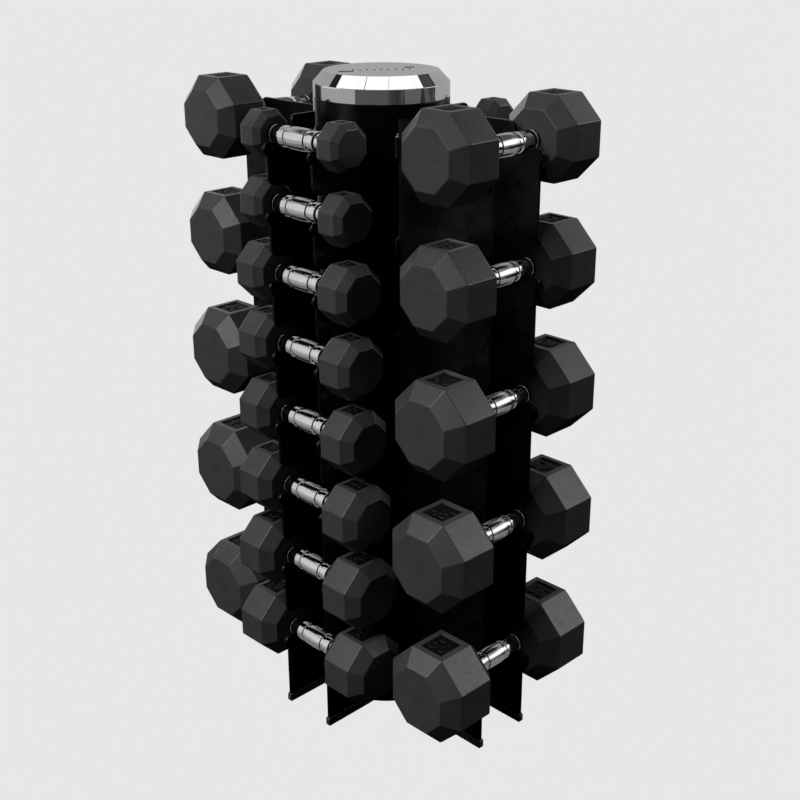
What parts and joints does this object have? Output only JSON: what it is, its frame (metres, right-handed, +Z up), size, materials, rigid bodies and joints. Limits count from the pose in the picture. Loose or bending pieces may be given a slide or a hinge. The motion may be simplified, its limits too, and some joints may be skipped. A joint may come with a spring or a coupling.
{
  "type": "dumbbell rack",
  "caption": "Four-sided tower rack: a round column on upright slotted fins, with octagonal-headed dumbbells that lie across the slots and lift out.",
  "frame": {"origin": "on the column's axis at floor level, under the middle of the tower", "axes": "+Z up the column; -Y out of the front, one of the two sides with eight small dumbbells; +X out of the right, one of the two sides with five big ones"},
  "size_m": [0.6298, 0.4256, 1.038],
  "materials": {
    "powder_coat": "satin",
    "cap_chrome": "polished",
    "foot_rubber": "matte",
    "coated_iron": "matte",
    "head_rubber": "matte",
    "handle_chrome": "polished"
  },
  "bodies": {
    "rack": {"column_tube": "powder_coat", "top_cap": "cap_chrome", "front_fin_left": "powder_coat", "front_foot_left": "foot_rubber", "front_fin_right": "powder_coat", "front_foot_right": "foot_rubber", "right_fin_front": "powder_coat", "right_foot_front": "foot_rubber", "right_fin_back": "powder_coat", "right_foot_back": "foot_rubber", "back_fin_right": "powder_coat", "back_foot_right": "foot_rubber", "back_fin_left": "powder_coat", "back_foot_left": "foot_rubber", "left_fin_back": "powder_coat", "left_foot_back": "foot_rubber", "left_fin_front": "powder_coat", "left_foot_front": "foot_rubber"},
    "front_dumbbell_3lb": {"front_dumbbell_3lb": "coated_iron"},
    "front_dumbbell_5lb": {"front_dumbbell_5lb": "coated_iron"},
    "front_dumbbell_8lb": {"front_dumbbell_8lb": "coated_iron"},
    "front_dumbbell_10lb": {"front_dumbbell_10lb": "coated_iron"},
    "front_dumbbell_12lb": {"front_dumbbell_12lb": "coated_iron"},
    "front_dumbbell_15lb": {"front_dumbbell_15lb": "coated_iron"},
    "front_dumbbell_20lb": {"front_dumbbell_20lb": "coated_iron"},
    "front_dumbbell_25lb": {"front_dumbbell_25lb": "coated_iron"},
    "right_dumbbell_30lb": {"right_dumbbell_30lb": "coated_iron"},
    "right_dumbbell_35lb": {"right_dumbbell_35lb": "coated_iron"},
    "right_dumbbell_40lb": {"right_dumbbell_40lb": "coated_iron"},
    "right_dumbbell_45lb": {"right_dumbbell_45lb": "coated_iron"},
    "right_dumbbell_50lb": {"right_dumbbell_50lb": "coated_iron"},
    "back_dumbbell_3lb": {"back_dumbbell_3lb": "coated_iron"},
    "back_dumbbell_5lb": {"back_dumbbell_5lb": "coated_iron"},
    "back_dumbbell_8lb": {"back_dumbbell_8lb": "coated_iron"},
    "back_dumbbell_10lb": {"back_dumbbell_10lb": "coated_iron"},
    "back_dumbbell_12lb": {"back_dumbbell_12lb": "coated_iron"},
    "back_dumbbell_15lb": {"back_dumbbell_15lb": "coated_iron"},
    "back_dumbbell_20lb": {"back_dumbbell_20lb": "coated_iron"},
    "back_dumbbell_25lb": {"back_dumbbell_25lb": "coated_iron"},
    "left_dumbbell_30lb": {"left_dumbbell_30lb": "coated_iron"},
    "left_dumbbell_35lb": {"left_dumbbell_35lb": "coated_iron"},
    "left_dumbbell_40lb": {"left_dumbbell_40lb": "coated_iron"},
    "left_dumbbell_45lb": {"left_dumbbell_45lb": "coated_iron"},
    "left_dumbbell_50lb": {"left_dumbbell_50lb": "coated_iron"}
  },
  "joints": [
    {"name": "front_3lb_lift_off", "type": "slide", "parent": "rack", "child": "front_dumbbell_3lb", "axis": [0, -0.9063, 0.4226], "range_m": [0, 0.2]},
    {"name": "front_5lb_lift_off", "type": "slide", "parent": "rack", "child": "front_dumbbell_5lb", "axis": [0, -0.9063, 0.4226], "range_m": [0, 0.2]},
    {"name": "front_8lb_lift_off", "type": "slide", "parent": "rack", "child": "front_dumbbell_8lb", "axis": [0, -0.9063, 0.4226], "range_m": [0, 0.2]},
    {"name": "front_10lb_lift_off", "type": "slide", "parent": "rack", "child": "front_dumbbell_10lb", "axis": [0, -0.9063, 0.4226], "range_m": [0, 0.2]},
    {"name": "front_12lb_lift_off", "type": "slide", "parent": "rack", "child": "front_dumbbell_12lb", "axis": [0, -0.9063, 0.4226], "range_m": [0, 0.2]},
    {"name": "front_15lb_lift_off", "type": "slide", "parent": "rack", "child": "front_dumbbell_15lb", "axis": [0, -0.9063, 0.4226], "range_m": [0, 0.2]},
    {"name": "front_20lb_lift_off", "type": "slide", "parent": "rack", "child": "front_dumbbell_20lb", "axis": [0, -0.9063, 0.4226], "range_m": [0, 0.2]},
    {"name": "front_25lb_lift_off", "type": "slide", "parent": "rack", "child": "front_dumbbell_25lb", "axis": [0, -0.9063, 0.4226], "range_m": [0, 0.2]},
    {"name": "right_30lb_lift_off", "type": "slide", "parent": "rack", "child": "right_dumbbell_30lb", "axis": [0.9063, 0, 0.4226], "range_m": [0, 0.24]},
    {"name": "right_35lb_lift_off", "type": "slide", "parent": "rack", "child": "right_dumbbell_35lb", "axis": [0.9063, 0, 0.4226], "range_m": [0, 0.24]},
    {"name": "right_40lb_lift_off", "type": "slide", "parent": "rack", "child": "right_dumbbell_40lb", "axis": [0.9063, 0, 0.4226], "range_m": [0, 0.24]},
    {"name": "right_45lb_lift_off", "type": "slide", "parent": "rack", "child": "right_dumbbell_45lb", "axis": [0.9063, 0, 0.4226], "range_m": [0, 0.24]},
    {"name": "right_50lb_lift_off", "type": "slide", "parent": "rack", "child": "right_dumbbell_50lb", "axis": [0.9063, 0, 0.4226], "range_m": [0, 0.24]},
    {"name": "back_3lb_lift_off", "type": "slide", "parent": "rack", "child": "back_dumbbell_3lb", "axis": [0, 0.9063, 0.4226], "range_m": [0, 0.2]},
    {"name": "back_5lb_lift_off", "type": "slide", "parent": "rack", "child": "back_dumbbell_5lb", "axis": [0, 0.9063, 0.4226], "range_m": [0, 0.2]},
    {"name": "back_8lb_lift_off", "type": "slide", "parent": "rack", "child": "back_dumbbell_8lb", "axis": [0, 0.9063, 0.4226], "range_m": [0, 0.2]},
    {"name": "back_10lb_lift_off", "type": "slide", "parent": "rack", "child": "back_dumbbell_10lb", "axis": [0, 0.9063, 0.4226], "range_m": [0, 0.2]},
    {"name": "back_12lb_lift_off", "type": "slide", "parent": "rack", "child": "back_dumbbell_12lb", "axis": [0, 0.9063, 0.4226], "range_m": [0, 0.2]},
    {"name": "back_15lb_lift_off", "type": "slide", "parent": "rack", "child": "back_dumbbell_15lb", "axis": [0, 0.9063, 0.4226], "range_m": [0, 0.2]},
    {"name": "back_20lb_lift_off", "type": "slide", "parent": "rack", "child": "back_dumbbell_20lb", "axis": [0, 0.9063, 0.4226], "range_m": [0, 0.2]},
    {"name": "back_25lb_lift_off", "type": "slide", "parent": "rack", "child": "back_dumbbell_25lb", "axis": [0, 0.9063, 0.4226], "range_m": [0, 0.2]},
    {"name": "left_30lb_lift_off", "type": "slide", "parent": "rack", "child": "left_dumbbell_30lb", "axis": [-0.9063, 0, 0.4226], "range_m": [0, 0.24]},
    {"name": "left_35lb_lift_off", "type": "slide", "parent": "rack", "child": "left_dumbbell_35lb", "axis": [-0.9063, 0, 0.4226], "range_m": [0, 0.24]},
    {"name": "left_40lb_lift_off", "type": "slide", "parent": "rack", "child": "left_dumbbell_40lb", "axis": [-0.9063, 0, 0.4226], "range_m": [0, 0.24]},
    {"name": "left_45lb_lift_off", "type": "slide", "parent": "rack", "child": "left_dumbbell_45lb", "axis": [-0.9063, 0, 0.4226], "range_m": [0, 0.24]},
    {"name": "left_50lb_lift_off", "type": "slide", "parent": "rack", "child": "left_dumbbell_50lb", "axis": [-0.9063, 0, 0.4226], "range_m": [0, 0.24]}
  ]
}
